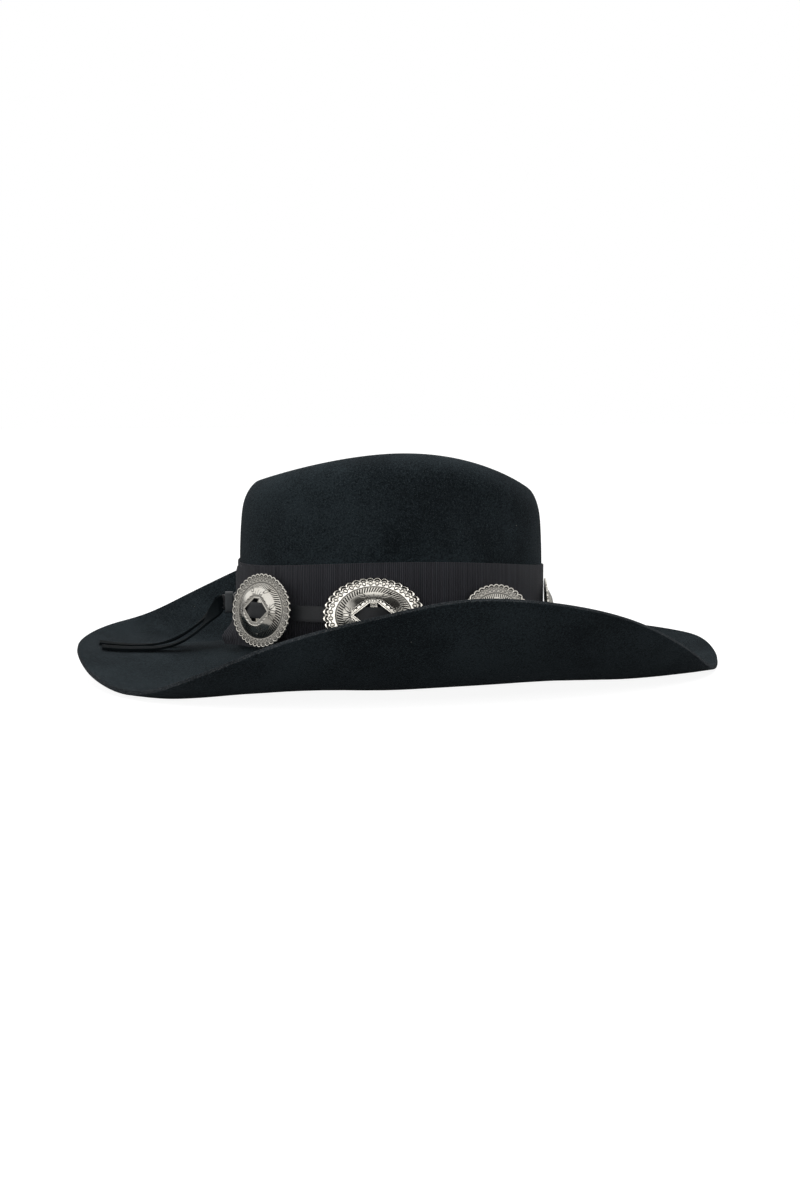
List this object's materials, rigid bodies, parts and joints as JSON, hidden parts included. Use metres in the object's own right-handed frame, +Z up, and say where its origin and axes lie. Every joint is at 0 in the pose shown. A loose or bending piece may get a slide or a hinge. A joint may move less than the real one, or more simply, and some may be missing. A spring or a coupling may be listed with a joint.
{
  "type": "wide-brim hat",
  "caption": "Black felt wide-brim hat with a dented crown, a ribbon band and a leather strap of oval silver conchos.",
  "frame": {"origin": "middle of the brim's outline on the surface that the brim rests on", "axes": "+X is the front of the hat, +Z is up along the crown and -Y is the side that the picture shows"},
  "size_m": [0.4353, 0.3452, 0.147],
  "materials": {
    "felt": "matt black wool felt",
    "ribbon": "black grosgrain ribbon",
    "leather": "smooth black leather",
    "silver": "polished stamped nickel silver, darkened in its stampings"
  },
  "bodies": {
    "root": {"felt_body": "felt", "ribbon_band": "ribbon", "concho_1": "silver", "concho_2": "silver", "concho_3": "silver", "concho_4": "silver", "concho_5": "silver", "concho_6": "silver", "concho_7": "silver", "ribbon_tail": "ribbon", "concho_strap": "leather", "tie_wrap": "leather"}
  },
  "joints": []
}
